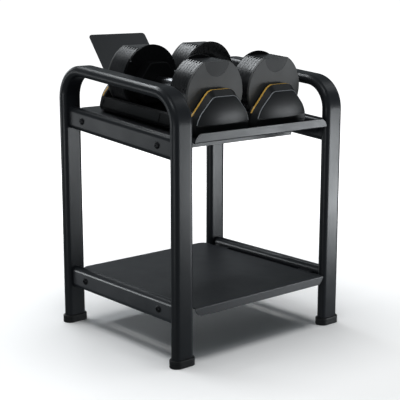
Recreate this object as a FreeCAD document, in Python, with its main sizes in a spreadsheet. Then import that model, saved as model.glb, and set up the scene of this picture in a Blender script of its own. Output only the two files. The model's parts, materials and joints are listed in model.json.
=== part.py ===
import FreeCAD, Part
import math
import os
import Sketcher

# A free-standing rack for a pair of adjustable dumbbells.  Two bent flat-oval side frames carry a
# level shelf below and a tray above that slopes down to the front.  On the tray are two moulded
# cradles, the dumbbells that lift out of them, and a sheet holder for a phone or tablet.
# Millimetres, +Z up, front towards -Y.  The origin is the middle of the bounding box, on the floor.

DIMENSIONS = {
    # side frames
    "leg_pitch_x": 560, "leg_pitch_y": 510, "tube_width": 65, "tube_thickness": 30, "tube_wall": 2,
    "bend_radius": 82, "handle_slope": 5, "front_bend_height": 644,
    # feet
    "foot_height": 22, "foot_overhang": 5.5, "foot_floor": 8, "foot_base_height": 8, "foot_groove": 1.5,
    # crossbars and their bolts
    "lower_bar_height": 141, "upper_bar_height": 600, "tray_slope": 4.5, "bolt_pitch": 346,
    "bolt_radius": 4, "bolt_clearance": 0.25, "head_radius": 10, "head_height": 5.5, "socket_flats": 6,
    "socket_depth": 3, "nut_flats": 13, "nut_height": 6.5, "bolt_end": 3, "spacer_length": 50,
    "spacer_height": 24, "spacer_offset": 12,
    # shelf and tray
    "sheet": 2.5, "sheet_width": 490, "sheet_depth": 540, "lip_height": 25, "lip_corner": 20,
    "flange_height": 27, "flange_setback": 34, "bend_outer": 4, "back_corner": 25, "shelf_top": 155,
    "tray_top": 619, "stiffener_depth": 20, "stiffener_height": 46.3, "stiffener_place": 128.3,
    # phone and tablet holder
    "holder_width": 214, "holder_sheet": 3, "holder_length": 255, "holder_lean": 42.5,
    "holder_base": 248, "holder_ledge": 18, "holder_lip": 12, "holder_corner": 10,
    "holder_screw_pitch": 150, "holder_screw_radius": 2.5,
    # cradles
    "pair_pitch": 220, "pair_place": -5, "wall_start": 188, "wall_end": 200, "cap_end": 216,
    "panel_end": 231, "panel_curve": 180, "panel_sweep": 300, "panel_crest": 38, "panel_low": 33,
    "panel_inset": 2, "trough_height": 44, "axis_height": 103.5, "trough_clearance": 2.5,
    "trim_width": 6, "trim_depth": 2, "trim_low": 46, "bead_width": 2,
    "side_plate_length": 150, "side_plate_height": 24, "side_plate_thickness": 1.5,
    "cradle_screw_x": 82, "cradle_screw_y": 165, "cradle_screw_radius": 2, "cradle_screw_depth": 12,
    # dumbbells
    "plate_radius": 98.5, "plate_flat": 88, "plate_pitch": 11.25, "plate_thickness": 10.95,
    "plate_count": 6, "plate_rim": 85, "plate_web": 5.5, "plate_bore": 6.3, "plate_start": 106,
    "plate_hub": 20, "notch_width": 9, "notch_depth": 5, "end_thickness": 6.5, "inlay_radius": 43,
    "inlay_rise": 3, "inlay_depth": 0.8, "inlay_thickness": 0.6, "hub_disc_radius": 93.5, "hub_rise": 5,
    "hub_disc_thickness": 5, "hub_end": 66, "grip_radius": 16.5, "grip_end_radius": 13,
    "grip_bore": 9.55, "grip_half": 65.6, "boss_radius": 9.5, "boss_end": 50,
    "rod_radius": 6, "rod_bore": 6.05, "rod_start": 12, "rod_end": 103, "tab_size": 5, "tab_x": 76,
    "tab_rise": 52,
}

Vector = FreeCAD.Vector
Rotation = FreeCAD.Rotation
Placement = FreeCAD.Placement
X_AXIS, Y_AXIS, Z_AXIS = Vector(1, 0, 0), Vector(0, 1, 0), Vector(0, 0, 1)
SIDES = {"left": -1, "right": 1}
ENDS = {"front": -1, "rear": 1}

doc = FreeCAD.newDocument("dumbbell_rack")
sheet = doc.addObject("Spreadsheet::Sheet", "Dims")
nodes = []


def fill_sheet():
    for row, (alias, value) in enumerate(DIMENSIONS.items(), start=1):
        sheet.set(f"A{row}", alias)
        sheet.set(f"B{row}", str(value))
        sheet.setAlias(f"B{row}", alias)
    doc.recompute()


def dim(alias):
    return float(sheet.get(alias))


def depth_middle():
    """Y of the middle of the rack's depth, from the front of the feet to the top of the holder."""
    front = -dim("leg_pitch_y") / 2 - dim("tube_thickness") / 2 - dim("foot_overhang")
    lean = math.radians(dim("holder_lean"))
    u = dim("holder_base") + dim("holder_length") * math.sin(lean) + dim("holder_sheet") * math.cos(lean)
    w = dim("holder_sheet") + dim("holder_length") * math.cos(lean) - dim("holder_sheet") * math.sin(lean)
    slope = math.radians(dim("tray_slope"))
    back = u * math.cos(slope) - w * math.sin(slope)
    return (front + back) / 2


def rack_place(x=0.0, y=0.0, z=0.0, rotation=None):
    return Placement(Vector(x, y - depth_middle(), z), rotation or Rotation())


def tray_place(x=0.0, u=0.0, w=0.0, rotation=None):
    """A place in the tray's own frame: u runs up the slope to the back, w is square to the tray."""
    tray = rack_place(z=dim("tray_top"), rotation=Rotation(X_AXIS, dim("tray_slope")))
    return tray * Placement(Vector(x, u, w), rotation or Rotation())


def keep(obj, label, placement):
    obj.Label = label
    obj.Placement = placement
    nodes.append(obj)
    return obj


# ---------------------------------------------------------------- sketches and features

def new_body(name):
    return doc.addObject("PartDesign::Body", name)


def origin_plane(body, role):
    return next(item for item in body.Origin.OriginFeatures if item.Role == role)


def new_sketch(body, name, role, offset=None):
    sketch = body.newObject("Sketcher::SketchObject", name)
    sketch.AttachmentSupport = [(origin_plane(body, role), "")]
    sketch.MapMode = "FlatFace"
    sketch.AttachmentOffset = Placement(offset or Vector(), Rotation())
    return sketch


def draw(sketch, start, steps):
    """Closed outline: each step is an end point, or a (middle, end) pair for an arc."""
    first = sketch.GeometryCount
    here = Vector(*start, 0)
    for step in steps:
        if isinstance(step[0], tuple):
            middle, end = Vector(*step[0], 0), Vector(*step[1], 0)
            sketch.addGeometry(Part.Arc(here, middle, end))
        else:
            end = Vector(*step, 0)
            sketch.addGeometry(Part.LineSegment(here, end))
        here = end
    return first


def draw_circle(sketch, x, y, radius_expression, radius):
    index = sketch.addGeometry(Part.Circle(Vector(x, y, 0), Z_AXIS, radius))
    sketch.addConstraint(Sketcher.Constraint("DistanceX", -1, 1, index, 3, x))
    sketch.addConstraint(Sketcher.Constraint("DistanceY", -1, 1, index, 3, y))
    bound = sketch.addConstraint(Sketcher.Constraint("Radius", index, radius))
    sketch.setExpression(f"Constraints[{bound}]", radius_expression)


def draw_oval(sketch, radius, half, upright, radius_expression, half_expression):
    """Racetrack outline about the sketch's origin, its straight sides bound to the sheet."""
    along = (lambda a, b: Vector(b, a, 0)) if upright else (lambda a, b: Vector(a, b, 0))
    first = sketch.addGeometry(Part.LineSegment(along(-half, radius), along(half, radius)))
    sketch.addGeometry(Part.Arc(along(half, radius), along(half + radius, 0), along(half, -radius)))
    sketch.addGeometry(Part.LineSegment(along(half, -radius), along(-half, -radius)))
    sketch.addGeometry(Part.Arc(along(-half, -radius), along(-half - radius, 0), along(-half, radius)))
    top, right, bottom, left = range(first, first + 4)
    start_right, end_right = (1, 2) if upright else (2, 1)
    for a, end_a, b, end_b in (
        (top, 2, right, start_right), (right, end_right, bottom, 1),
        (bottom, 2, left, start_right), (left, end_right, top, 1),
    ):
        sketch.addConstraint(Sketcher.Constraint("Tangent", a, end_a, b, end_b))
    axis = -2 if upright else -1
    sketch.addConstraint(Sketcher.Constraint("PointOnObject", right, 3, axis))
    sketch.addConstraint(Sketcher.Constraint("Symmetric", left, 3, right, 3, -1, 1))
    bound = sketch.addConstraint(Sketcher.Constraint("Radius", right, radius))
    sketch.setExpression(f"Constraints[{bound}]", radius_expression)
    distance = "DistanceY" if upright else "DistanceX"
    bound = sketch.addConstraint(Sketcher.Constraint(distance, -1, 1, right, 3, half))
    sketch.setExpression(f"Constraints[{bound}]", half_expression)


def draw_tube_section(sketch, upright):
    half = (dim("tube_width") - dim("tube_thickness")) / 2
    half_expression = "(Dims.tube_width - Dims.tube_thickness) / 2"
    radius = dim("tube_thickness") / 2
    draw_oval(sketch, radius, half, upright, "Dims.tube_thickness / 2", half_expression)
    draw_oval(sketch, radius - dim("tube_wall"), half, upright,
              "Dims.tube_thickness / 2 - Dims.tube_wall", half_expression)


def pad(body, sketch, length, midplane=False, reverse=False):
    feature = body.newObject("PartDesign::Pad", sketch.Name + "_pad")
    feature.Profile = sketch
    feature.setExpression("Length", length)
    feature.Midplane = midplane
    feature.Reversed = reverse
    return feature


def pocket(body, sketch, length=None, midplane=True, reverse=False):
    feature = body.newObject("PartDesign::Pocket", sketch.Name + "_pocket")
    feature.Profile = sketch
    if length is None:
        feature.Type = "ThroughAll"
    else:
        feature.setExpression("Length", length)
    feature.Midplane = midplane
    feature.Reversed = reverse
    return feature


def round_edges(body, feature, radius, chosen, name="rounding"):
    """Fillet the edges of a feature for which chosen(middle point, edge) holds."""
    doc.recompute()
    names = []
    for index, edge in enumerate(feature.Shape.Edges, start=1):
        middle = edge.valueAt((edge.FirstParameter + edge.LastParameter) / 2)
        if chosen(middle, edge):
            names.append(f"Edge{index}")
    if not names:
        raise ValueError(f"no edge to round on {body.Label}")
    fillet = body.newObject("PartDesign::Fillet", name)
    fillet.Base = (feature, names)
    fillet.setExpression("Radius", radius)
    return fillet


def near(value, target, gap=0.05):
    return abs(value - target) < gap


def primitive(kind, name, **sizes):
    """A Part primitive whose sizes are expressions on the sheet."""
    obj = doc.addObject(f"Part::{kind}", name)
    for size, expression in sizes.items():
        obj.setExpression(size, expression)
    return obj


def combine(kind, name, base, tool):
    obj = doc.addObject(f"Part::{kind}", name)
    obj.Base = base
    obj.Tool = tool
    return obj


def compound(name, shapes):
    """Separate identical pieces that share one node."""
    obj = doc.addObject("Part::Feature", name)
    obj.Shape = Part.makeCompound(shapes)
    return obj


def copies(source, placements):
    doc.recompute()
    shapes = []
    for placement in placements:
        shape = source.Shape.copy()
        shape.Placement = placement * shape.Placement
        shapes.append(shape)
    return shapes


# ---------------------------------------------------------------- side frames, crossbars, feet

def side_frame(side):
    """One flat-oval tube bent to an upside-down U, its handle bar sloping down to the front."""
    body = new_body(f"side_frame_{side}")
    half_pitch, radius = dim("leg_pitch_y") / 2, dim("bend_radius")
    slope = math.radians(dim("handle_slope"))
    bottom, front_z = dim("foot_floor"), dim("front_bend_height")
    middle_span = 2 * (half_pitch - radius)
    back_z = front_z + middle_span * math.tan(slope)
    ahead = Vector(-math.sin(slope), math.cos(slope), 0) * radius
    front_centre = Vector(-half_pitch + radius, front_z, 0)
    back_centre = Vector(half_pitch - radius, back_z, 0)
    path = new_sketch(body, f"frame_path_{side}", "YZ_Plane")
    turn_back = Vector(math.sin(math.radians(42.5)), math.cos(math.radians(42.5)), 0) * radius
    turn_front = Vector(-math.sin(math.radians(47.5)), math.cos(math.radians(47.5)), 0) * radius
    points = [Vector(half_pitch, bottom, 0), Vector(half_pitch, back_z, 0), back_centre + ahead,
              front_centre + ahead, Vector(-half_pitch, front_z, 0), Vector(-half_pitch, bottom, 0)]
    path.addGeometry(Part.LineSegment(points[0], points[1]))
    path.addGeometry(Part.Arc(points[1], back_centre + turn_back, points[2]))
    path.addGeometry(Part.LineSegment(points[2], points[3]))
    path.addGeometry(Part.Arc(points[3], front_centre + turn_front, points[4]))
    path.addGeometry(Part.LineSegment(points[4], points[5]))
    section = new_sketch(body, f"frame_section_{side}", "XY_Plane", Vector(0, half_pitch, bottom))
    draw_tube_section(section, upright=False)
    pipe = body.newObject("PartDesign::AdditivePipe", f"frame_pipe_{side}")
    pipe.Profile = section
    pipe.Spine = (path, [f"Edge{i}" for i in range(1, 6)])
    keep(body, f"side_frame_{side}", rack_place(SIDES[side] * dim("leg_pitch_x") / 2))


def crossbar(level, side):
    """Flat-oval tube, long way up, between the flat faces of the front and back legs."""
    body = new_body(f"{level}_crossbar_{side}")
    slope = math.radians(dim("tray_slope")) if level == "upper" else 0.0
    reach = (dim("leg_pitch_y") - dim("tube_thickness")) / 2
    start = Vector(0, reach * math.tan(slope), -reach)
    section = new_sketch(body, f"{level}_section_{side}", "XZ_Plane", start)
    draw_tube_section(section, upright=True)
    tube = pad(body, section, "Dims.leg_pitch_y - Dims.tube_thickness")
    tube.UseCustomVector = True
    tube.Direction = Vector(0, -math.cos(slope), -math.sin(slope))
    holes = new_sketch(body, f"{level}_bolt_holes_{side}", "YZ_Plane")
    for end in ENDS.values():
        y = end * dim("bolt_pitch") / 2
        draw_circle(holes, y, y * math.tan(slope), "Dims.bolt_radius + Dims.bolt_clearance",
                    dim("bolt_radius") + dim("bolt_clearance"))
    pocket(body, holes)
    height = dim(f"{level}_bar_height")
    keep(body, f"{level}_crossbar_{side}", rack_place(SIDES[side] * dim("leg_pitch_x") / 2, 0, height))


def foot(end, side):
    """Moulded cap over the end of a leg: base, thin groove, rounded collar, socket for the tube."""
    body = new_body(f"foot_{end}_{side}")
    half = (dim("tube_width") - dim("tube_thickness")) / 2
    half_expression = "(Dims.tube_width - Dims.tube_thickness) / 2"
    outer = dim("tube_thickness") / 2 + dim("foot_overhang")
    outer_expression = "Dims.tube_thickness / 2 + Dims.foot_overhang"
    groove_top = dim("foot_base_height") + dim("foot_groove")
    layers = (
        ("base", 0.0, outer, outer_expression, "Dims.foot_base_height"),
        ("groove", dim("foot_base_height"), outer - 1, outer_expression + " - 1", "Dims.foot_groove"),
        ("collar", groove_top, outer, outer_expression,
         "Dims.foot_height - Dims.foot_base_height - Dims.foot_groove"),
    )
    for name, z, radius, expression, height in layers:
        sketch = new_sketch(body, f"foot_{name}_{end}_{side}", "XY_Plane", Vector(0, 0, z))
        draw_oval(sketch, radius, half, False, expression, half_expression)
        last = pad(body, sketch, height)
    top = dim("foot_height")
    last = round_edges(body, last, "3.5", lambda p, e: near(p.z, top), "collar_rounding")
    last = round_edges(body, last, "1.5", lambda p, e: near(p.z, 0), "base_rounding")
    socket = new_sketch(body, f"foot_socket_{end}_{side}", "XY_Plane", Vector(0, 0, top))
    draw_oval(socket, dim("tube_thickness") / 2 + 0.05, half, False, "Dims.tube_thickness / 2 + 0.05",
              half_expression)
    pocket(body, socket, "Dims.foot_height - Dims.foot_floor", midplane=False)
    keep(body, f"foot_{end}_{side}", rack_place(SIDES[side] * dim("leg_pitch_x") / 2,
                                                ENDS[end] * dim("leg_pitch_y") / 2))


# ---------------------------------------------------------------- shelf, tray and their fasteners

def sheet_outline(sketch):
    """The flat of a sheet: rounded back corners and a step in for each side flange."""
    half_width, half_depth = dim("sheet_width") / 2, dim("sheet_depth") / 2
    corner, inner = dim("back_corner"), half_width - dim("bend_outer")
    flange_end = half_depth - dim("flange_setback")
    arc_reach = corner * (1 - math.sqrt(0.5))
    draw(sketch, (-half_width, -half_depth), [
        (half_width, -half_depth), (half_width, -flange_end), (inner, -flange_end),
        (inner, flange_end), (half_width, flange_end), (half_width, half_depth - corner),
        ((half_width - arc_reach, half_depth - arc_reach), (half_width - corner, half_depth)),
        (-half_width + corner, half_depth),
        ((-half_width + arc_reach, half_depth - arc_reach), (-half_width, half_depth - corner)),
        (-half_width, flange_end), (-inner, flange_end), (-inner, -flange_end),
        (-half_width, -flange_end), (-half_width, -half_depth)])


def lip_outline(sketch, root, away):
    """Front lip with rounded ends, from the sheet at height root to away * lip_height beyond it."""
    half_width, reach = dim("sheet_width") / 2, dim("lip_corner")
    tip, shoulder = root + away * dim("lip_height"), root + away * 6
    bulge = (half_width - reach * 0.36, tip - away * dim("lip_height") * 0.3)
    draw(sketch, (-half_width, root), [
        (half_width, root), (half_width, shoulder), (bulge, (half_width - reach, tip)),
        (-half_width + reach, tip), ((-bulge[0], bulge[1]), (-half_width, shoulder)),
        (-half_width, root)])


def flange_outline(sketch, sign):
    """Section of a side flange with its bend."""
    edge, bend, thick = dim("sheet_width") / 2, dim("bend_outer"), dim("sheet")
    centre, inside, low = edge - bend, bend - thick, -dim("flange_height")
    diagonal = math.sqrt(0.5)
    outer_arc = ((sign * (centre + bend * diagonal), -bend + bend * diagonal), (sign * edge, -bend))
    inner_arc = ((sign * (centre + inside * diagonal), -bend + inside * diagonal),
                 (sign * centre, -thick))
    draw(sketch, (sign * centre, 0), [
        outer_arc, (sign * edge, low), (sign * (edge - thick), low), (sign * (edge - thick), -bend),
        inner_arc, (sign * centre, 0)])


def bent_sheet(name, lip_up):
    """Flat sheet with rounded back corners, a front lip bent up or down and two side flanges."""
    body = new_body(name)
    half_width, half_depth = dim("sheet_width") / 2, dim("sheet_depth") / 2
    sheet_t, flange_end = dim("sheet"), dim("sheet_depth") / 2 - dim("flange_setback")
    plate = new_sketch(body, f"{name}_plate", "XY_Plane", Vector(0, 0, -sheet_t))
    sheet_outline(plate)
    pad(body, plate, "Dims.sheet")
    lip = new_sketch(body, f"{name}_lip", "XZ_Plane", Vector(0, 0, half_depth))
    root, away = (-sheet_t, 1) if lip_up else (0, -1)
    lip_outline(lip, root, away)
    last = pad(body, lip, "Dims.sheet", reverse=True)
    last = round_edges(body, last, "Dims.bend_outer", lambda p, e: (
        near(p.y, -half_depth) and near(p.z, root) and e.Length > half_width), "lip_bend")
    last = round_edges(body, last, "Dims.bend_outer - Dims.sheet", lambda p, e: (
        near(p.y, -half_depth + sheet_t) and near(p.z, root + away * sheet_t) and e.Length > half_width),
        "lip_inner_bend")
    for side, sign in SIDES.items():
        flange = new_sketch(body, f"{name}_flange_{side}", "XZ_Plane")
        flange_outline(flange, sign)
        last = pad(body, flange, "Dims.sheet_depth - 2 * Dims.flange_setback", midplane=True)
    round_edges(body, last, "8", lambda p, e: (
        near(p.z, -dim("flange_height")) and near(abs(p.y), flange_end)), "flange_corners")
    holes = new_sketch(body, f"{name}_bolt_holes", "YZ_Plane")
    for end in ENDS.values():
        draw_circle(holes, *bolt_place(name, end), "Dims.bolt_radius + Dims.bolt_clearance",
                    dim("bolt_radius") + dim("bolt_clearance"))
    pocket(body, holes)
    if name == "tray":
        tray_screw_holes(body)
    return body


def tray_screw_holes(body):
    """Holes for the screws that hold the cradles and the phone holder."""
    holes = new_sketch(body, "tray_screw_holes", "XY_Plane")
    for pair_sign in SIDES.values():
        for x, y in cradle_screw_points():
            draw_circle(holes, pair_sign * dim("pair_pitch") / 2 + x, dim("pair_place") + y,
                        "Dims.cradle_screw_radius + 0.05", dim("cradle_screw_radius") + 0.05)
        draw_circle(holes, pair_sign * dim("holder_screw_pitch") / 2, screw_line(),
                    "Dims.holder_screw_radius + 0.1", dim("holder_screw_radius") + 0.1)
    pocket(body, holes, "2 * Dims.sheet + 2")


def bolt_place(name, end):
    """A crossbar bolt in the sheet's own frame, as (distance along the sheet, height)."""
    y = end * dim("bolt_pitch") / 2
    if name == "shelf":
        return y, dim("lower_bar_height") - dim("shelf_top")
    slope = math.radians(dim("tray_slope"))
    drop = dim("upper_bar_height") - dim("tray_top")
    rise = drop + y * math.tan(slope)
    return y * math.cos(slope) + rise * math.sin(slope), rise * math.cos(slope) - y * math.sin(slope)


def sheet_places():
    """The two sheets and the placement of each."""
    return {"shelf": rack_place(z=dim("shelf_top")), "tray": tray_place()}


def bolt_axes(out):
    """Placements whose +X axis runs outwards along each of the eight bolts, at distance out."""
    places = []
    for name, sheet_place in sheet_places().items():
        for sign in SIDES.values():
            for end in ENDS.values():
                y, z = bolt_place(name, end)
                spin = Rotation() if sign > 0 else Rotation(Z_AXIS, 180)
                places.append(sheet_place * Placement(Vector(sign * out, y, z), spin))
    return places


def crossbar_bolts():
    """Eight domed socket-head bolts through crossbar, spacer and flange."""
    body = new_body("bolt_source")
    length = (dim("leg_pitch_x") + dim("tube_thickness")) / 2 - dim("sheet_width") / 2
    length += dim("sheet") + dim("nut_height") + dim("bolt_end")
    head, shank = dim("head_height"), dim("bolt_radius")
    sketch = new_sketch(body, "bolt_profile", "XY_Plane")
    draw(sketch, (-length, 0), [
        (-length, shank - 0.5), (-length + 0.5, shank), (0, shank), (0, dim("head_radius")),
        (1, dim("head_radius")), ((head * 0.7, dim("head_radius") * 0.76), (head, 4.5)), (head, 0),
        (-length, 0)])
    turned = body.newObject("PartDesign::Revolution", "bolt_turned")
    turned.Profile = sketch
    turned.ReferenceAxis = (sketch, ["H_Axis"])
    turned.Angle = 360
    key = new_sketch(body, "bolt_key", "YZ_Plane", Vector(0, 0, head))
    reach = dim("socket_flats") / math.sqrt(3)
    corners = [(reach * math.cos(math.radians(a)), reach * math.sin(math.radians(a)))
               for a in range(0, 361, 60)]
    draw(key, corners[0], corners[1:])
    pocket(body, key, "Dims.socket_depth", midplane=False)
    face = (dim("leg_pitch_x") + dim("tube_thickness")) / 2
    return compound("crossbar_bolts", copies(body, bolt_axes(face)))


def crossbar_nuts():
    """Eight hexagon nuts behind the side flanges."""
    body = new_body("nut_source")
    sketch = new_sketch(body, "nut_outline", "YZ_Plane")
    reach = dim("nut_flats") / math.sqrt(3)
    corners = [(reach * math.cos(math.radians(a)), reach * math.sin(math.radians(a)))
               for a in range(0, 361, 60)]
    draw(sketch, corners[0], corners[1:])
    draw_circle(sketch, 0, 0, "Dims.bolt_radius + 0.05", dim("bolt_radius") + 0.05)
    pad(body, sketch, "Dims.nut_height", reverse=True)
    seat = dim("sheet_width") / 2 - dim("sheet")
    return compound("crossbar_nuts", copies(body, bolt_axes(seat)))


def crossbar_spacers():
    """Eight blocks that fill the space between a side flange and its crossbar."""
    body = new_body("spacer_source")
    sketch = new_sketch(body, "spacer_outline", "YZ_Plane")
    half_l, half_h, shift = dim("spacer_length") / 2, dim("spacer_height") / 2, dim("spacer_offset")
    draw(sketch, (shift - half_l, -half_h), [
        (shift + half_l, -half_h), (shift + half_l, half_h), (shift - half_l, half_h),
        (shift - half_l, -half_h)])
    draw_circle(sketch, 0, 0, "Dims.bolt_radius + Dims.bolt_clearance",
                dim("bolt_radius") + dim("bolt_clearance"))
    block = pad(body, sketch, "(Dims.leg_pitch_x - Dims.tube_thickness - Dims.sheet_width) / 2")
    round_edges(body, block, "2", lambda p, e: near(abs(p.z), half_h) and near(
        p.x, (dim("leg_pitch_x") - dim("tube_thickness") - dim("sheet_width")) / 4, 1))
    seat = dim("sheet_width") / 2
    places = []
    for name, sheet_place in sheet_places().items():
        for sign in SIDES.values():
            for end in ENDS.values():
                y, z = bolt_place(name, end)
                spin = Rotation(X_AXIS, 0 if end > 0 else 180)
                spin = spin if sign > 0 else Rotation(Y_AXIS, 180) * spin
                places.append(sheet_place * Placement(Vector(sign * seat, y, z), spin))
    return compound("crossbar_spacers", copies(body, places))


def tray_stiffener(end):
    """Open channel under the tray, from one side flange to the other."""
    name = f"tray_stiffener_{end}"
    body = new_body(name)
    half_d, height, wall = dim("stiffener_depth") / 2, dim("stiffener_height"), dim("sheet")
    sketch = new_sketch(body, f"{name}_section", "YZ_Plane")
    draw(sketch, (-half_d, 0), [
        (half_d, 0), (half_d, -height), (half_d - wall, -height), (half_d - wall, -wall),
        (-half_d + wall, -wall), (-half_d + wall, -height), (-half_d, -height), (-half_d, 0)])
    pad(body, sketch, "Dims.sheet_width - 2 * Dims.bend_outer - 2", midplane=True)
    keep(body, name, tray_place(0, ENDS[end] * dim("stiffener_place"), -dim("sheet")))


# ---------------------------------------------------------------- phone and tablet holder

def media_holder():
    """One bent sheet: a small front lip, a ledge screwed to the tray and a plate leaning back."""
    body = new_body("media_holder")
    lean = math.radians(dim("holder_lean"))
    along = (math.sin(lean), math.cos(lean))
    back = (math.cos(lean), -math.sin(lean))
    sheet_t, base, length = dim("holder_sheet"), dim("holder_base"), dim("holder_length")
    front = base - dim("holder_ledge")
    top_front = (base + along[0] * length, sheet_t + along[1] * length)
    top_back = (top_front[0] + back[0] * sheet_t, top_front[1] + back[1] * sheet_t)
    heel_height = sheet_t + back[1] * sheet_t
    heel = (base + back[0] * sheet_t - along[0] * heel_height / along[1], 0)
    section = new_sketch(body, "holder_section", "YZ_Plane")
    draw(section, (front, 0), [
        (front, dim("holder_lip")), (front + sheet_t, dim("holder_lip")), (front + sheet_t, sheet_t),
        (base, sheet_t), top_front, top_back, heel, (front, 0)])
    last = pad(body, section, "Dims.holder_width", midplane=True)
    half_width = dim("holder_width") / 2
    tip_height = (top_front[1] + top_back[1]) / 2
    last = round_edges(body, last, "Dims.holder_corner", lambda p, e: (
        near(abs(p.x), half_width) and near(p.z, tip_height)), "top_corners")
    holes = new_sketch(body, "holder_holes", "XY_Plane")
    for sign in SIDES.values():
        draw_circle(holes, sign * dim("holder_screw_pitch") / 2, screw_line(),
                    "Dims.holder_screw_radius + 0.1", dim("holder_screw_radius") + 0.1)
    pocket(body, holes, "2 * Dims.holder_sheet + 1")
    keep(body, "media_holder", tray_place())


def screw_line():
    """Distance up the tray of the holder's two screws."""
    return dim("holder_base") - dim("holder_ledge") / 2 + 1


def holder_screws():
    """Two low-headed screws through the ledge and the tray."""
    body = new_body("holder_screw_source")
    sketch = new_sketch(body, "holder_screw_profile", "XZ_Plane")
    shank = dim("holder_screw_radius")
    draw(sketch, (0, 1.8), [((3.2, 1.2), (4.6, 0)), (shank, 0), (shank, -8), (0, -8), (0, 1.8)])
    turned = body.newObject("PartDesign::Revolution", "holder_screw_turned")
    turned.Profile = sketch
    turned.ReferenceAxis = (sketch, ["V_Axis"])
    turned.Angle = 360
    places = [tray_place(sign * dim("holder_screw_pitch") / 2, screw_line(), dim("holder_sheet"))
              for sign in SIDES.values()]
    return compound("holder_screws", copies(body, places))


# ---------------------------------------------------------------- cradles

# Half outlines of a cradle end: bottom corner, swelling side, straight slope, top corner.
# The larger one is the wall behind the plates, the smaller one the front edge of the end cap.
WALL_ARCH = {"foot": (88, 0), "foot_mid": (101, 5), "hip": (108, 19), "side_mid": (101.5, 44),
             "knee": (86, 66.5), "shoulder": (52, 108), "top_mid": (40, 117.5), "crown": (22, 121)}
CAP_ARCH = {"foot": (76, 0), "foot_mid": (88.5, 5), "hip": (94.5, 18), "side_mid": (89, 44),
            "knee": (76, 66.5), "shoulder": (48, 96.5), "top_mid": (39, 103), "crown": (26, 105.5)}


def arch_steps(arch, shrink=0.0):
    """The closed outline of an arch, for draw(), pulled in towards its middle by shrink."""
    def move(key, sign):
        x, z = arch[key]
        pull = {"foot": (0.5, 0), "crown": (0.4, 1)}.get(key, (0.8, 0.6))
        return (sign * (x - pull[0] * shrink), z - pull[1] * shrink * (z > 10))
    right = [((move("foot_mid", 1)), (move("hip", 1))), ((move("side_mid", 1)), (move("knee", 1))),
             move("shoulder", 1), ((move("top_mid", 1)), (move("crown", 1)))]
    left = [move("crown", -1), ((move("top_mid", -1)), (move("shoulder", -1))), move("knee", -1),
            ((move("side_mid", -1)), (move("hip", -1))), ((move("foot_mid", -1)), (move("foot", -1))),
            move("foot", 1)]
    return move("foot", 1), right + left


def cradle_place(side, end="front"):
    """Middle of a cradle on the tray; at the rear end the piece is turned about."""
    turn = Rotation() if end == "front" else Rotation(Z_AXIS, 180)
    return tray_place(SIDES[side] * dim("pair_pitch") / 2, dim("pair_place"), 0, turn)


def arch_face(arch, y, shrink=0.0):
    """Flat face with the outline of an arch, at y."""
    start, steps = arch_steps(arch, shrink)
    edges = []
    here = Vector(start[0], y, start[1])
    for step in steps:
        if isinstance(step[0], tuple):
            middle, end = (Vector(px, y, pz) for px, pz in step)
            edges.append(Part.Arc(here, middle, end).toShape())
        else:
            end = Vector(step[0], y, step[1])
            edges.append(Part.LineSegment(here, end).toShape())
        here = end
    return Part.Face(Part.Wire(edges))


def cradle_trough(side):
    """Base under the plates: the lower part of the arch, hollowed to follow the plates."""
    name = f"cradle_trough_{side}"
    body = new_body(f"{name}_block")
    sketch = new_sketch(body, f"{name}_outline", "XZ_Plane")
    x, z = WALL_ARCH["hip"]
    foot_x = WALL_ARCH["foot"][0]
    top = dim("trough_height")
    mid = WALL_ARCH["foot_mid"]
    right = [(mid, (x, z)), (WALL_ARCH["side_mid"][0], top)]
    left = [(-WALL_ARCH["side_mid"][0], top), (-x, z), ((-mid[0], mid[1]), (-foot_x, 0))]
    draw(sketch, (foot_x, 0), right + left + [(foot_x, 0)])
    pad(body, sketch, "2 * Dims.wall_start", midplane=True)
    holes = new_sketch(body, f"{name}_screw_holes", "XY_Plane")
    for x, y in cradle_screw_points():
        draw_circle(holes, x, y, "Dims.cradle_screw_radius + 0.05", dim("cradle_screw_radius") + 0.05)
    pocket(body, holes, "2 * Dims.cradle_screw_depth + 2")
    hollow = primitive("Cylinder", f"{name}_hollow", Radius="Dims.plate_radius + Dims.trough_clearance",
                       Height="2 * Dims.wall_start + 2")
    hollow.Placement = Placement(Vector(0, dim("wall_start") + 1, dim("axis_height")),
                                 Rotation(X_AXIS, 90))
    keep(combine("Cut", name, body, hollow), name, cradle_place(side))


def cradle_end(side, end):
    """Arched wall with a band that slopes in towards the end panel, and the trim let into it."""
    name = f"cradle_{end}_end_{side}"
    body = new_body(f"{name}_block")
    wall = new_sketch(body, f"{name}_wall", "XZ_Plane", Vector(0, 0, dim("wall_start")))
    draw(wall, *arch_steps(WALL_ARCH))
    pad(body, wall, "Dims.wall_end - Dims.wall_start")
    band = body.newObject("PartDesign::AdditiveLoft", f"{name}_band")
    sections = []
    for arch, distance in ((WALL_ARCH, "wall_end"), (CAP_ARCH, "cap_end")):
        section = new_sketch(body, f"{name}_{distance}", "XZ_Plane", Vector(0, 0, dim(distance)))
        draw(section, *arch_steps(arch))
        sections.append(section)
    band.Profile = sections[0]
    band.Sections = sections[1:]
    band.Ruled = True
    doc.recompute()
    groove = doc.addObject("Part::Feature", f"{name}_groove")
    groove.Shape = amber_strip(body.Shape)
    keep(combine("Cut", name, body, groove), name, cradle_place(side, end))
    return groove.Shape


def amber_strip(block):
    """Thin strip let into the rim of the wall, just behind the sloping band."""
    y, width = -dim("wall_end"), dim("trim_width")
    core = arch_face(WALL_ARCH, y - 1, dim("trim_depth")).extrude(Vector(0, width + 2, 0))
    slice_box = Part.makeBox(400, width, 200, Vector(-200, y, dim("trim_low")))
    return block.common(slice_box).cut(core)


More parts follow.
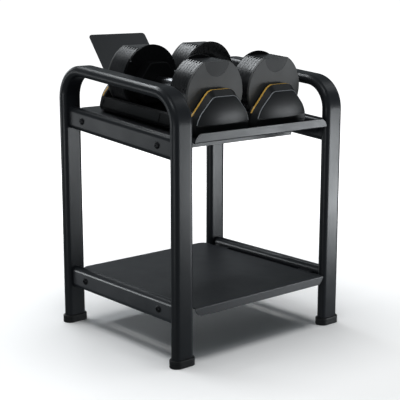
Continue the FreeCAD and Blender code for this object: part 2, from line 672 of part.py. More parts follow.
def cradle_panel(side, end):
    """Bulging panel on the end cap, curved both ways, that stops short of the tray."""
    name = f"cradle_{end}_panel_{side}"
    body = new_body(f"{name}_block")
    sketch = new_sketch(body, f"{name}_outline", "XZ_Plane", Vector(0, 0, dim("cap_end")))
    draw(sketch, *arch_steps(CAP_ARCH, dim("panel_inset")))
    pad(body, sketch, "Dims.panel_end - Dims.cap_end + 5")
    keep(combine("Common", name, body, panel_dome(name)), name, cradle_place(side, end))


def panel_dome(name):
    """Solid of revolution whose barrel-shaped side is the face of a panel."""
    body = new_body(f"{name}_dome")
    sweep, curve, crest = dim("panel_sweep"), dim("panel_curve"), dim("panel_crest")
    profile = new_sketch(body, f"{name}_dome_profile", "YZ_Plane", Vector(sweep - dim("panel_end"), 0, 0))
    top, bottom = crest + curve * 0.8, dim("panel_low")
    inset_top, inset_bottom = (curve - math.sqrt(curve ** 2 - (z - crest) ** 2) for z in (top, bottom))
    draw(profile, (0, bottom), [
        (-sweep + inset_bottom, bottom), ((-sweep, crest), (-sweep + inset_top, top)), (0, top),
        (0, bottom)])
    turned = body.newObject("PartDesign::Revolution", f"{name}_dome_turned")
    turned.Profile = profile
    turned.ReferenceAxis = (profile, ["V_Axis"])
    turned.Angle = 360
    return body


def edge_bead():
    """Thin bead round the end panel, in front of the sloping band."""
    y, width = -dim("cap_end") - dim("bead_width"), dim("bead_width")
    ring = arch_face(CAP_ARCH, y).cut(arch_face(CAP_ARCH, y, dim("panel_inset")))
    upper = Part.makeBox(400, 100, 200, Vector(-200, y - 50, dim("panel_low")))
    return ring.extrude(Vector(0, width, 0)).common(upper)


def both_ends(label, front, side):
    """One piece at the front of a cradle and the same at its rear, as one node."""
    rear = front.copy()
    rear.Placement = Placement(Vector(), Rotation(Z_AXIS, 180)) * rear.Placement
    keep(compound(label, [front, rear]), label, cradle_place(side))


def cradle_side_plates(side):
    """Plain plate on the outside of each trough wall."""
    (x0, z0), x1, z1 = WALL_ARCH["hip"], WALL_ARCH["side_mid"][0], dim("trough_height")
    tilt = math.degrees(math.atan2(x0 - x1, z1 - z0))
    name = f"cradle_side_plates_{side}"
    shapes = []
    for sign in SIDES.values():
        plate = primitive("Box", f"{name}_{'a' if sign < 0 else 'b'}", Length="Dims.side_plate_thickness",
                          Width="Dims.side_plate_length", Height="Dims.side_plate_height")
        doc.recompute()
        shape = plate.Shape.copy()
        seat = Placement(Vector(x0, -dim("side_plate_length") / 2, z0), Rotation(Y_AXIS, -tilt))
        if sign < 0:
            seat = Placement(Vector(), Rotation(Z_AXIS, 180)) * seat
        shape.Placement = seat
        shapes.append(shape)
    keep(compound(name, shapes), name, cradle_place(side))


def cradle_screw_points():
    """The four screws of a cradle, from the middle of the cradle."""
    x, y = dim("cradle_screw_x"), dim("cradle_screw_y")
    return [(sign_x * x, sign_y * y) for sign_x in (-1, 1) for sign_y in (-1, 1)]


def cradle_screws(side):
    """Four screws up through the tray into the trough walls."""
    body = new_body(f"cradle_screw_source_{side}")
    sketch = new_sketch(body, f"cradle_screw_profile_{side}", "XZ_Plane")
    under, shank, tip = -dim("sheet"), dim("cradle_screw_radius"), dim("cradle_screw_depth")
    draw(sketch, (0, under - 2.5), [(4, under - 2.5), (4.5, under), (shank, under), (shank, tip),
                                    (0, tip), (0, under - 2.5)])
    turned = body.newObject("PartDesign::Revolution", f"cradle_screw_turned_{side}")
    turned.Profile = sketch
    turned.ReferenceAxis = (sketch, ["V_Axis"])
    turned.Angle = 360
    places = [Placement(Vector(x, y, 0), Rotation()) for x, y in cradle_screw_points()]
    label = f"cradle_screws_{side}"
    keep(compound(label, copies(body, places)), label, cradle_place(side))


# ---------------------------------------------------------------- dumbbells

def dumbbell_place(side, end="front"):
    """Middle of a dumbbell's axis; a piece for the rear end is turned about."""
    turn = Rotation() if end == "front" else Rotation(Z_AXIS, 180)
    return tray_place(SIDES[side] * dim("pair_pitch") / 2, dim("pair_place"), dim("axis_height"), turn)


def flat_cut(body, name):
    """Cut the plates' top flat through everything along the axis."""
    sketch = new_sketch(body, f"{name}_flat", "XZ_Plane")
    low, high, wide = dim("plate_flat"), dim("plate_radius") + 5, dim("plate_radius")
    draw(sketch, (-wide, low), [(wide, low), (wide, high), (-wide, high), (-wide, low)])
    pocket(body, sketch)


def plate_stack(side, end):
    """The separate weight plates of one end, each with a rim, a thinner web and two top notches."""
    name = f"{end}_plates_{side}"
    body = new_body(f"{name}_plate")
    start, thick = -dim("plate_start"), dim("plate_thickness")
    radius, rim, bore = dim("plate_radius"), dim("plate_rim"), dim("plate_bore")
    web, hub_radius, next_plate = dim("plate_web"), dim("plate_hub"), start - dim("plate_pitch")
    profile = new_sketch(body, f"{name}_profile", "YZ_Plane")
    draw(profile, (next_plate, bore), [
        (next_plate, hub_radius), (start - thick, hub_radius), (start - thick, radius - 0.6),
        (start - thick + 0.6, radius), (start - 0.6, radius), (start, radius - 0.6), (start, rim),
        (start - thick + web, rim), (start - thick + web, hub_radius), (start, hub_radius),
        (start, bore), (next_plate, bore)])
    turned = body.newObject("PartDesign::Revolution", f"{name}_turned")
    turned.Profile = profile
    turned.ReferenceAxis = (profile, ["H_Axis"])
    turned.Angle = 360
    flat_cut(body, name)
    notch = new_sketch(body, f"{name}_notch", "XZ_Plane", Vector(0, 0, -start))
    half_chord = math.sqrt(radius ** 2 - dim("plate_flat") ** 2)
    low, high = dim("plate_flat") - dim("notch_depth"), radius
    for sign in SIDES.values():
        a, b = sign * (half_chord - dim("notch_width")), sign * (half_chord + 8)
        draw(notch, (a, low), [(b, low), (b, high), (a, high), (a, low)])
    pocket(body, notch, "Dims.plate_thickness * 0.42", midplane=False, reverse=True)
    pitch = dim("plate_pitch")
    places = [Placement(Vector(0, -index * pitch, 0), Rotation())
              for index in range(int(dim("plate_count")))]
    keep(compound(name, copies(body, places)), name, dumbbell_place(side, end))


def end_plate(side, end):
    """Outer cover plate with a shallow half-round recess under its flat."""
    name = f"{end}_end_plate_{side}"
    body = new_body(name)
    outside = dim("plate_start") + dim("plate_count") * dim("plate_pitch")
    sketch = new_sketch(body, f"{name}_disc", "XZ_Plane", Vector(0, 0, outside))
    draw_circle(sketch, 0, 0, "Dims.plate_radius", dim("plate_radius"))
    last = pad(body, sketch, "Dims.end_thickness")
    face = outside + dim("end_thickness")
    round_edges(body, last, "1", lambda p, e: near(p.y, -face))
    flat_cut(body, name)
    recess = new_sketch(body, f"{name}_recess", "XZ_Plane", Vector(0, 0, face))
    draw_circle(recess, 0, dim("plate_flat") + dim("inlay_rise"), "Dims.inlay_radius",
                dim("inlay_radius"))
    pocket(body, recess, "Dims.inlay_depth", midplane=False)
    keep(body, name, dumbbell_place(side, end))


def end_inlays(side):
    """Dark half-round inlay in each end plate."""
    outside = dim("plate_start") + dim("plate_count") * dim("plate_pitch") + dim("end_thickness")
    name = f"end_inlays_{side}"
    disc = primitive("Cylinder", f"{name}_disc", Radius="Dims.inlay_radius - 0.1",
                     Height="Dims.inlay_thickness")
    disc.Placement = Placement(
        Vector(0, -outside + dim("inlay_depth"), dim("plate_flat") + dim("inlay_rise")),
        Rotation(X_AXIS, 90))
    below = primitive("Box", f"{name}_below", Length="200", Width="500", Height="Dims.plate_flat")
    below.Placement = Placement(Vector(-100, -250, 0), Rotation())
    inlay = combine("Common", f"{name}_half", disc, below)
    turned = Placement(Vector(), Rotation(Z_AXIS, 180))
    keep(compound(name, copies(inlay, [Placement(), turned])), name, dumbbell_place(side))


HUB_ARCH = {"low": (46, -62), "waist": (62, -20), "side": (62, 8), "shoulder": (34, 46), "crown": (22, 52)}


def hub(side, end):
    """Inner guard: a black disc against the plates, an arched housing and a boss for the grip."""
    name = f"{end}_hub_{side}"
    body = new_body(name)
    disc_end = dim("plate_start")
    disc = new_sketch(body, f"{name}_disc", "XZ_Plane", Vector(0, 0, disc_end - dim("hub_disc_thickness")))
    draw_circle(disc, 0, dim("hub_rise"), "Dims.hub_disc_radius", dim("hub_disc_radius"))
    last = pad(body, disc, "Dims.hub_disc_thickness")
    inner = disc_end - dim("hub_disc_thickness")
    round_edges(body, last, "1.5", lambda p, e: near(p.y, -inner), "disc_rounding")
    arch = new_sketch(body, f"{name}_arch", "XZ_Plane", Vector(0, 0, dim("hub_end")))
    low, waist, hip = HUB_ARCH["low"], HUB_ARCH["waist"], HUB_ARCH["side"]
    shoulder, crown = HUB_ARCH["shoulder"], HUB_ARCH["crown"]
    bend = (shoulder[0] - 5, shoulder[1] + 4.2)
    draw(arch, low, [waist, hip, shoulder, (bend, crown), (-crown[0], crown[1]),
                     ((-bend[0], bend[1]), (-shoulder[0], shoulder[1])), (-hip[0], hip[1]),
                     (-waist[0], waist[1]), (-low[0], low[1]), low])
    housing = pad(body, arch, f"{disc_end - dim('hub_end') - 1}")
    round_edges(body, housing, "2.5", lambda p, e: near(p.y, -dim("hub_end")), "housing_rounding")
    boss = new_sketch(body, f"{name}_boss", "XZ_Plane", Vector(0, 0, dim("boss_end")))
    draw_circle(boss, 0, 0, "Dims.boss_radius", dim("boss_radius"))
    pad(body, boss, "Dims.hub_end - Dims.boss_end + 5")
    bore = new_sketch(body, f"{name}_bore", "XZ_Plane")
    draw_circle(bore, 0, 0, "Dims.rod_bore", dim("rod_bore"))
    pocket(body, bore)
    keep(body, name, dumbbell_place(side, end))


def lock_tabs(side):
    """Small bright tabs on the rim of each inner guard, one on each side."""
    name = f"lock_tabs_{side}"
    size = dim("tab_size")
    tab = primitive("Box", f"{name}_tab", Length="Dims.tab_size", Width="Dims.tab_size * 0.5",
                    Height="Dims.tab_size * 0.8")
    inner = dim("plate_start") - dim("hub_disc_thickness")
    places = []
    for turn in (0, 180):
        for sign in SIDES.values():
            seat = Placement(Vector(sign * dim("tab_x") - size / 2, -inner, dim("tab_rise")), Rotation())
            places.append(Placement(Vector(), Rotation(Z_AXIS, turn)) * seat)
    keep(compound(name, copies(tab, places)), name, dumbbell_place(side))


def grip(side):
    """Turning grip: a barrel-shaped sleeve, slim at its ends, that runs on the two bosses."""
    name = f"grip_{side}"
    body = new_body(name)
    half, radius, bore = dim("grip_half"), dim("grip_radius"), dim("grip_bore")
    end_radius = dim("grip_end_radius")
    sketch = new_sketch(body, f"{name}_profile", "YZ_Plane")
    draw(sketch, (-half, bore), [
        (-half, end_radius - 1), (-half + 1, end_radius), (-half + 8, end_radius),
        ((0, radius), (half - 8, end_radius)), (half - 1, end_radius), (half, end_radius - 1),
        (half, bore), (-half, bore)])
    turned = body.newObject("PartDesign::Revolution", f"{name}_turned")
    turned.Profile = sketch
    turned.ReferenceAxis = (sketch, ["H_Axis"])
    turned.Angle = 360
    keep(body, name, dumbbell_place(side))


def selector(side, end):
    """Rod inside the grip that slides out through the hub to pick up plates."""
    name = f"{end}_selector_{side}"
    rod = primitive("Cylinder", name, Radius="Dims.rod_radius", Height="Dims.rod_end - Dims.rod_start")
    lying = Placement(Vector(0, -dim("rod_start"), 0), Rotation(X_AXIS, 90))
    keep(rod, name, dumbbell_place(side, end) * lying)


# ---------------------------------------------------------------- assembly

def check_and_write():
    doc.recompute()
    for obj in doc.Objects:
        if "Invalid" in obj.State or "Error" in obj.State:
            raise RuntimeError(f"{obj.Name} is {obj.State}")
    os.makedirs("parts", exist_ok=True)
    for obj in nodes:
        if obj.Shape.isNull() or not obj.Shape.isValid():
            raise RuntimeError(f"{obj.Label} has no valid shape")
        obj.Shape.exportStep(f"parts/{obj.Label}.step")
    print(len(nodes), "nodes")


def build():
    fill_sheet()
    for side in SIDES:
        side_frame(side)
        for level in ("lower", "upper"):
            crossbar(level, side)
        for end in ENDS:
            foot(end, side)
    for name, placement in sheet_places().items():
        keep(bent_sheet(name, lip_up=name == "tray"), name, placement)
    for make in (crossbar_bolts, crossbar_nuts, crossbar_spacers, holder_screws):
        keep(make(), make.__name__, Placement())
    media_holder()
    for end in ENDS:
        tray_stiffener(end)
    for side in SIDES:
        cradle_trough(side)
        for end in ENDS:
            strip = cradle_end(side, end)
            cradle_panel(side, end)
        both_ends(f"cradle_amber_trims_{side}", strip, side)
        both_ends(f"cradle_edge_beads_{side}", edge_bead(), side)
        cradle_side_plates(side)
        cradle_screws(side)
        for end in ENDS:
            plate_stack(side, end)
            end_plate(side, end)
            hub(side, end)
            selector(side, end)
        end_inlays(side)
        lock_tabs(side)
        grip(side)
    check_and_write()


build()
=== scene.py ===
import json
import math

import bmesh
import bpy
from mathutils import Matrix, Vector

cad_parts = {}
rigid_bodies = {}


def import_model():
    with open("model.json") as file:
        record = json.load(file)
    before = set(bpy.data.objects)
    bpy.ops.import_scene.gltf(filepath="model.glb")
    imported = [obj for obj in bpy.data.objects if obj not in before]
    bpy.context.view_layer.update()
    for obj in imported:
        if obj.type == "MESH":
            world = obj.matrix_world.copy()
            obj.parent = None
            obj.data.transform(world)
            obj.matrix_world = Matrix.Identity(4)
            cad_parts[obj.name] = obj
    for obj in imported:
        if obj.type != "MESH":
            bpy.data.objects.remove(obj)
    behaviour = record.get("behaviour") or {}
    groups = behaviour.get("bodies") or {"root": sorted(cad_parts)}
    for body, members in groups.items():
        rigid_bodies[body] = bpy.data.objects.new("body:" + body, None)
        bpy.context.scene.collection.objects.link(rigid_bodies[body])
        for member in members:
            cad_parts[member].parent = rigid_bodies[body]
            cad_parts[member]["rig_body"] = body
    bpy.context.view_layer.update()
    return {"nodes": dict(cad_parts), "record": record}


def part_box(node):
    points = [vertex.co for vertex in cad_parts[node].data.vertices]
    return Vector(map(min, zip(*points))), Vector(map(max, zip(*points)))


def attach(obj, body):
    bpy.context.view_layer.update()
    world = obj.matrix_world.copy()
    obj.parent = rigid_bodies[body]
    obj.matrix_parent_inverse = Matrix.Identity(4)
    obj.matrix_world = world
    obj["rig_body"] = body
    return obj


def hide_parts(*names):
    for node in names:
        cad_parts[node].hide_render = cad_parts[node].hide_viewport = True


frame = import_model()
scene = bpy.context.scene

# camera: the way it looks, in degrees, its place from the middle of the legs, and its lens
AZIMUTH, ELEVATION = -40.34, 11.83
CAMERA_FROM_LEGS = (-1.9682, -2.3166, 1.0098)
LENS, SENSOR_WIDTH, VIEW_DISTANCE = 94.87, 36, 50

# world and floor: strengths, colours, and the distances over which the floor starts to glow
BACKDROP_LIGHT, BACKDROP_COLOUR = 1.05, (1, 1, 1, 1)
ROOM_LIGHT, ROOM_COLOUR = 0.11, (0.85, 0.95, 1.0, 1)
FLOOR_HALF_SIZE, FLOOR_DROP = 20, 0.0002
FLOOR_COLOUR, FLOOR_ROUGHNESS = (0.9, 0.9, 0.9, 1), 0.9
GLOW_START_END = (0.82, 2.05)
FLOOR_LIGHT, FLOOR_LIGHT_HEIGHT, FLOOR_LIGHT_SIZE = 155, 4.0, (3.0, 3.0)

# softboxes: place and target from the middle of the legs on the floor, size, watts, what they light
SOFTBOX_COLOUR = (0.93, 0.97, 1.0)
KEY = ((1.29, -1.38, 0.16), (0.0, -0.23, 0.48), (0.8, 0.5))
RIGHT_HIGH = ((2.2, -0.8, 2.7), (0.0, 0.1, 0.6), (1.2, 1.2))
SOFTBOXES = {
    "key": (*KEY, 13, "paint"),
    "low_front": ((1.35, -1.5, 0.03), (0.2, -0.23, 0.6), (1.1, 0.16), 12.5, "sheets"),
    "key_sheets": (*KEY, 10, "sheets"),
    "cover_key": ((1.4, -1.6, 0.35), (0.0, -0.23, 0.65), (1.3, 0.3), 9, "covers"),
    "trim_light": ((-1.4, -1.2, 1.7), (-0.1, -0.2, 0.7), (0.8, 0.8), 9, "trims"),
    "low_bar_light": ((-1.7, 1.8, 0.14), (-0.28, 0.0, 0.14), (1.6, 0.24), 15, "low_bars"),
    "back_fill": ((0.1, 2.8, 1.0), (0.0, 0.0, 0.4), (1.8, 1.2), 16, None),
    "left_low": ((-2.6, -0.7, 0.15), (-0.28, -0.2, 0.4), (1.4, 0.5), 5, None),
    "back_left_low": ((-1.9, 2.2, 0.25), (-0.28, 0.0, 0.4), (1.6, 0.5), 3.5, None),
    "back_strip": ((-0.3, 2.1, 3.1), (0.0, 0.0, 0.7), (2.6, 0.3), 34, None),
    "back_right": ((2.0, 2.4, 1.1), (0.0, 0.0, 0.5), (1.0, 0.8), 0.5, None),
    "right_high": (*RIGHT_HIGH, 4, None),
    "holder_light": (*RIGHT_HIGH, 12, "sheets"),
    "left_high": ((-1.3, -1.4, 2.9), (0.0, -0.1, 0.6), (1.0, 1.0), 9, None),
}

# the materials that a group of softboxes lights; all others are the group "paint"
SLOT_GROUPS = {
    "covers": ("cradle_gloss", "end_cover", "inlay_dark"),
    "trims": ("amber_trim", "pale_bead"),
    "sheets": ("sheet_paint",),
}

# colour clouds, and how far from an edge and how patchily a coating is worn
CLOUD_SCALE = 9.0
WEAR_REACH, WEAR_AT_EDGE, NO_WEAR_ON_FLATS = 0.0012, 0.8, 0.985
WEAR_COLOUR = (0.2, 0.2, 0.21, 1)
PATCH_SCALE, PATCH_START, PATCH_END = 60.0, 0.42, 0.62

# rounded edges of the pieces
WELD_DISTANCE = 0.00001
FLAT_ANGLE, SHARP_ANGLE = math.radians(0.5), math.radians(32)
EDGE_ROUNDING, EDGE_SEGMENTS = 0.0006, 3

# inner hubs of a dumbbell, from the middle of its grip, and their ribs
HUB_FACE, HUB_RISE = 0.101, 0.005
RIB_INNER, RIB_OUTER, RIB_WIDTH, RIB_HEIGHT, RIB_COUNT = 0.066, 0.087, 0.0022, 0.001, 28
RIB_SUNK = 0.1
RIB_ROUNDING, RIB_SEGMENTS = 0.0004, 2


# ---------------------------------------------------------------- camera, light and floor

def legs_middle():
    """Middle of the four legs on the floor."""
    low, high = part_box("side_frame_left")
    return Vector((0, (low[1] + high[1]) / 2, 0))


def make_camera():
    """The camera at the front left, looking slightly down."""
    data = bpy.data.cameras.new("camera")
    data.sensor_width = SENSOR_WIDTH
    data.lens = LENS
    data.clip_end = VIEW_DISTANCE
    camera = bpy.data.objects.new("camera", data)
    azimuth, elevation = math.radians(AZIMUTH), math.radians(ELEVATION)
    back = Vector((math.sin(azimuth) * math.cos(elevation), -math.cos(azimuth) * math.cos(elevation),
                   math.sin(elevation)))
    camera.location = legs_middle() + Vector(CAMERA_FROM_LEGS)
    camera.rotation_mode = "QUATERNION"
    camera.rotation_quaternion = (-back).to_track_quat("-Z", "Y")
    scene.collection.objects.link(camera)
    scene.camera = camera


def area_light(name, place, target, size, power, colour=(1, 1, 1)):
    """A rectangular lamp of a given width and height, aimed at the target."""
    data = bpy.data.lights.new(name, "AREA")
    data.shape = "RECTANGLE"
    data.size, data.size_y = size
    data.energy = power
    data.color = colour
    light = bpy.data.objects.new(name, data)
    light.location = place
    aim = Vector(target) - Vector(place)
    light.rotation_mode = "QUATERNION"
    light.rotation_quaternion = aim.to_track_quat("-Z", "Y")
    scene.collection.objects.link(light)
    return light


def make_world():
    """White behind the camera's own view, a dim cool room for what lights the rack."""
    world = bpy.data.worlds.new("studio")
    scene.world = world
    world.use_nodes = True
    nodes, links = world.node_tree.nodes, world.node_tree.links
    nodes.clear()
    seen = nodes.new("ShaderNodeBackground")
    seen.inputs["Color"].default_value = BACKDROP_COLOUR
    seen.inputs["Strength"].default_value = BACKDROP_LIGHT
    lit = nodes.new("ShaderNodeBackground")
    lit.inputs["Color"].default_value = ROOM_COLOUR
    lit.inputs["Strength"].default_value = ROOM_LIGHT
    path = nodes.new("ShaderNodeLightPath")
    mix = nodes.new("ShaderNodeMixShader")
    out = nodes.new("ShaderNodeOutputWorld")
    links.new(path.outputs["Is Camera Ray"], mix.inputs["Fac"])
    links.new(lit.outputs[0], mix.inputs[1])
    links.new(seen.outputs[0], mix.inputs[2])
    links.new(mix.outputs[0], out.inputs[0])


def make_floor():
    """Pale floor; far from the rack it glows a little, so that it meets the background."""
    mesh = bpy.data.meshes.new("floor")
    bm = bmesh.new()
    bmesh.ops.create_grid(bm, x_segments=1, y_segments=1, size=FLOOR_HALF_SIZE)
    bm.to_mesh(mesh)
    bm.free()
    floor = bpy.data.objects.new("floor", mesh)
    floor.location = (0, 0, -FLOOR_DROP)
    scene.collection.objects.link(floor)
    material = bpy.data.materials.new("floor")
    n = Nodes(material)
    n.put(n.shader, "Base Color", FLOOR_COLOUR)
    n.put(n.shader, "Roughness", FLOOR_ROUGHNESS)
    n.put(n.shader, "Specular IOR Level", 0.0)
    length = n.add("VectorMath")
    length.operation = "LENGTH"
    n.tree.links.new(n.add("TexCoord").outputs["Object"], length.inputs[0])
    n.put(n.shader, "Emission Color", (1, 1, 1, 1))
    n.put(n.shader, "Emission Strength", n.ramp(length.outputs["Value"], 0.0, 1.0, *GLOW_START_END))
    mesh.materials.append(material)
    return floor


def light_groups(pieces):
    """The pieces of each group that has softboxes of its own."""
    groups = {}
    for name, slots in SLOT_GROUPS.items():
        groups[name] = [piece for piece, slot in pieces if slot in slots]
    grouped = [slot for slots in SLOT_GROUPS.values() for slot in slots]
    groups["paint"] = [piece for piece, slot in pieces if slot not in grouped]
    groups["low_bars"] = [piece for piece, slot in pieces if piece.name.startswith("lower_crossbar")]
    return groups


def make_lights(floor, pieces):
    """A softbox overhead for the floor alone and a ring of softboxes for the rack."""
    floor.visible_diffuse = False
    floor.visible_glossy = False
    groups = light_groups(pieces)
    groups["floor"] = [floor]
    receivers = {}
    for name, members in groups.items():
        receivers[name] = bpy.data.collections.new(f"lit_{name}")
        for member in members:
            receivers[name].objects.link(member)
    overhead = area_light("overhead", (0, 0, FLOOR_LIGHT_HEIGHT), (0, 0, 0), FLOOR_LIGHT_SIZE, FLOOR_LIGHT)
    overhead.light_linking.receiver_collection = receivers["floor"]
    middle = legs_middle()
    for name, (place, target, size, power, group) in SOFTBOXES.items():
        light = area_light(name, middle + Vector(place), middle + Vector(target), size, power,
                           SOFTBOX_COLOUR)
        if group:
            light.light_linking.receiver_collection = receivers[group]


# ---------------------------------------------------------------- materials

class Nodes:
    """A short way to add and link shader nodes."""

    def __init__(self, material):
        material.use_nodes = True
        self.tree = material.node_tree
        self.shader = self.tree.nodes["Principled BSDF"]

    def add(self, kind, **inputs):
        node = self.tree.nodes.new("ShaderNode" + kind)
        for name, value in inputs.items():
            self.put(node, name.replace("_", " "), value)
        return node

    def put(self, node, name, value):
        socket = node.inputs[name]
        if isinstance(value, bpy.types.NodeSocket):
            self.tree.links.new(value, socket)
        else:
            socket.default_value = value

    def noise(self, scale, detail, rough):
        place = self.add("TexCoord").outputs["Object"]
        return self.add("TexNoise", Vector=place, Scale=scale, Detail=detail,
                        Roughness=rough).outputs["Fac"]

    def ramp(self, factor, low, high, start=0.0, end=1.0):
        node = self.add("MapRange")
        self.put(node, "Value", factor)
        self.put(node, "From Min", start)
        self.put(node, "From Max", end)
        self.put(node, "To Min", low)
        self.put(node, "To Max", high)
        return node.outputs[0]

    def mix(self, factor, a, b):
        node = self.tree.nodes.new("ShaderNodeMix")
        node.data_type = "RGBA"
        for socket, value in (("Factor_Float", factor), ("A_Color", a), ("B_Color", b)):
            target = next(s for s in node.inputs if s.identifier == socket)
            if isinstance(value, bpy.types.NodeSocket):
                self.tree.links.new(value, target)
            else:
                target.default_value = value
        return next(s for s in node.outputs if s.identifier == "Result_Color")


def worn_edges(n, colour, wear):
    """The colour with its coating worn off in patches along the edges."""
    edge = n.add("Bevel")
    edge.inputs["Radius"].default_value = WEAR_REACH
    geometry = n.add("NewGeometry")
    dot = n.add("VectorMath")
    dot.operation = "DOT_PRODUCT"
    n.tree.links.new(edge.outputs[0], dot.inputs[0])
    n.tree.links.new(geometry.outputs["Normal"], dot.inputs[1])
    rim = n.ramp(dot.outputs["Value"], wear, 0.0, WEAR_AT_EDGE, NO_WEAR_ON_FLATS)
    patch = n.ramp(n.noise(PATCH_SCALE, 4.0, 0.7), 0.0, 1.0, PATCH_START, PATCH_END)
    amount = n.add("Math")
    amount.operation = "MULTIPLY"
    n.tree.links.new(rim, amount.inputs[0])
    n.tree.links.new(patch, amount.inputs[1])
    return n.mix(amount.outputs[0], colour, WEAR_COLOUR)


def finish_material(name, base, vary, roughness, rough_vary, grain, grain_height, spec=0.5,
                    metallic=0.0, wear=0.0):
    """A coating: cloudy colour variation, fine grain in the bump, uneven gloss, worn edges."""
    material = bpy.data.materials.new(name)
    n = Nodes(material)
    cloud = n.noise(CLOUD_SCALE, 3.0, 0.6)
    dark = tuple(c * (1 - vary) for c in base) + (1,)
    light = tuple(min(1, c * (1 + vary)) for c in base) + (1,)
    colour = n.mix(cloud, dark, light)
    grain_noise = n.noise(grain, 2.0, 0.55)
    if wear:
        colour = worn_edges(n, colour, wear)
    n.put(n.shader, "Base Color", colour)
    n.put(n.shader, "Roughness", n.ramp(cloud, roughness - rough_vary, roughness + rough_vary, 0.3, 0.7))
    n.put(n.shader, "Specular IOR Level", spec)
    n.put(n.shader, "Metallic", metallic)
    bump = n.add("Bump")
    n.put(bump, "Height", grain_noise)
    n.put(bump, "Strength", 1.0)
    n.put(bump, "Distance", grain_height)
    n.put(n.shader, "Normal", bump.outputs[0])
    return material


MATERIALS = {
    "frame_paint": dict(base=(0.022, 0.024, 0.028), vary=0.12, roughness=0.33, rough_vary=0.04,
                        grain=900, grain_height=0.00006, wear=0.5),
    "sheet_paint": dict(base=(0.022, 0.024, 0.028), vary=0.12, roughness=0.44, rough_vary=0.04,
                        grain=1000, grain_height=0.00005, wear=0.5),
    "foot_moulding": dict(base=(0.012, 0.012, 0.013), vary=0.15, roughness=0.5, rough_vary=0.05,
                          grain=1400, grain_height=0.00004),
    "fastener_black": dict(base=(0.02, 0.02, 0.022), vary=0.15, roughness=0.3, rough_vary=0.05,
                           grain=1600, grain_height=0.00002, metallic=0.6, wear=0.6),
    "cradle_matt": dict(base=(0.012, 0.012, 0.013), vary=0.15, roughness=0.45, rough_vary=0.05,
                        grain=1300, grain_height=0.00005),
    "cradle_gloss": dict(base=(0.016, 0.0165, 0.018), vary=0.1, roughness=0.38, rough_vary=0.04,
                         grain=700, grain_height=0.00002),
    "amber_trim": dict(base=(1.0, 0.56, 0.1), vary=0.06, roughness=0.4, rough_vary=0.05,
                       grain=900, grain_height=0.00003),
    # the pale bead round the end caps is a painted highlight: a pale grey strip standing in for the light
    # caught along their edge
    "pale_bead": dict(base=(0.5, 0.51, 0.53), vary=0.08, roughness=0.35, rough_vary=0.05,
                      grain=900, grain_height=0.00002),
    "label_plate": dict(base=(0.014, 0.014, 0.015), vary=0.1, roughness=0.35, rough_vary=0.05,
                        grain=900, grain_height=0.00002),
    "plate_paint": dict(base=(0.02, 0.02, 0.022), vary=0.15, roughness=0.29, rough_vary=0.05,
                        grain=900, grain_height=0.00005, wear=0.6),
    "end_cover": dict(base=(0.12, 0.118, 0.116), vary=0.08, roughness=0.5, rough_vary=0.05,
                      grain=1200, grain_height=0.00004),
    "inlay_dark": dict(base=(0.044, 0.044, 0.045), vary=0.08, roughness=0.5, rough_vary=0.05,
                       grain=1200, grain_height=0.00003),
    "hub_moulding": dict(base=(0.004, 0.004, 0.0045), vary=0.12, roughness=0.55, rough_vary=0.05,
                         grain=1200, grain_height=0.00004, spec=0.25),
    "tab_metal": dict(base=(0.45, 0.46, 0.48), vary=0.08, roughness=0.3, rough_vary=0.05,
                      grain=900, grain_height=0.00002, metallic=1.0),
    "grip_metal": dict(base=(0.25, 0.255, 0.265), vary=0.08, roughness=0.3, rough_vary=0.05,
                       grain=900, grain_height=0.00002, metallic=1.0),
    "rod_steel": dict(base=(0.5, 0.51, 0.53), vary=0.06, roughness=0.25, rough_vary=0.04,
                      grain=900, grain_height=0.00002, metallic=1.0),
}


def make_materials():
    """One material for each slot of the record."""
    return {name: finish_material(name, **settings) for name, settings in MATERIALS.items()}


# ---------------------------------------------------------------- pieces

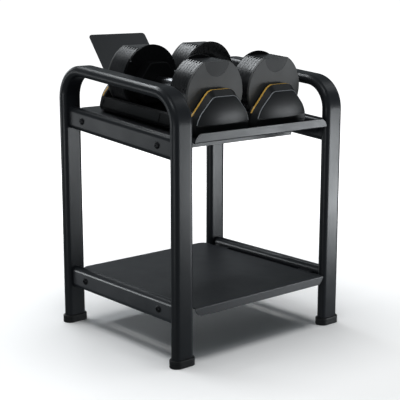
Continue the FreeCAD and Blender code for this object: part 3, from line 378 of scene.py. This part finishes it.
def dress(node, material):
    """A copy of a CAD node with welded seams and rounded edges stands for the node."""
    mesh = frame["nodes"][node].data.copy()
    mesh.name = node + "_skin"
    mesh.materials.clear()
    mesh.materials.append(material)
    bm = bmesh.new()
    bm.from_mesh(mesh)
    bmesh.ops.remove_doubles(bm, verts=bm.verts, dist=WELD_DISTANCE)
    if "plates" not in node:  # the plates keep the CAD's own triangles round their bores
        bmesh.ops.dissolve_limit(bm, angle_limit=FLAT_ANGLE, verts=bm.verts, edges=bm.edges)
    for face in bm.faces:
        face.smooth = True
    bm.to_mesh(mesh)
    bm.free()
    piece = bpy.data.objects.new(node + "_skin", mesh)
    scene.collection.objects.link(piece)
    rounding = piece.modifiers.new("rounding", "BEVEL")
    rounding.width = EDGE_ROUNDING
    rounding.segments = EDGE_SEGMENTS
    rounding.limit_method = "ANGLE"
    rounding.angle_limit = SHARP_ANGLE
    rounding.harden_normals = True
    shading = piece.modifiers.new("shading", "WEIGHTED_NORMAL")
    shading.keep_sharp = True
    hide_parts(node)
    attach(piece, frame["nodes"][node]["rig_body"])
    return piece


def dress_all(materials):
    """Every node dressed in its material, as (piece, slot) pairs."""
    slots = {part["node"]: part["material_slot"] for part in frame["record"]["subparts"]}
    return [(dress(node, materials[slots[node]]), slots[node]) for node in frame["nodes"]]


def hub_ribs(side, material):
    """Fine radial ribs round the inner guards of a dumbbell."""
    turn = next(j for j in frame["record"]["behaviour"]["joints"] if j["name"] == f"{side}_grip_turn")
    axis, across = Vector(turn["axis"]), Vector((1, 0, 0))
    up = Vector((0, -axis.z, axis.y))
    mesh = bpy.data.meshes.new(f"hub_ribs_{side}")
    bm = bmesh.new()
    for end in (-1, 1):
        middle = Vector(turn["pos_m"]) + up * HUB_RISE + axis * (end * HUB_FACE)
        for index in range(RIB_COUNT):
            angle = 2 * math.pi * (index + 0.5) / RIB_COUNT
            out = across * math.cos(angle) + up * math.sin(angle)
            along = axis.cross(out)
            block = bmesh.ops.create_cube(bm, size=1)["verts"]
            for vert in block:
                reach = (RIB_INNER + RIB_OUTER) / 2 + vert.co.x * (RIB_OUTER - RIB_INNER)
                rise = -end * RIB_HEIGHT * (vert.co.z + 0.5 - RIB_SUNK)
                vert.co = middle + out * reach + along * (vert.co.y * RIB_WIDTH) + axis * rise
    bmesh.ops.recalc_face_normals(bm, faces=bm.faces)
    bm.to_mesh(mesh)
    bm.free()
    mesh.materials.append(material)
    piece = bpy.data.objects.new(f"hub_ribs_{side}", mesh)
    scene.collection.objects.link(piece)
    rounding = piece.modifiers.new("rounding", "BEVEL")
    rounding.width = RIB_ROUNDING
    rounding.segments = RIB_SEGMENTS
    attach(piece, f"{side}_dumbbell")
    return piece


scene.view_settings.view_transform = "Standard"
make_camera()
make_world()
floor = make_floor()
materials = make_materials()
pieces = dress_all(materials)
for side in ("left", "right"):
    pieces.append((hub_ribs(side, materials["hub_moulding"]), "hub_moulding"))
make_lights(floor, pieces)
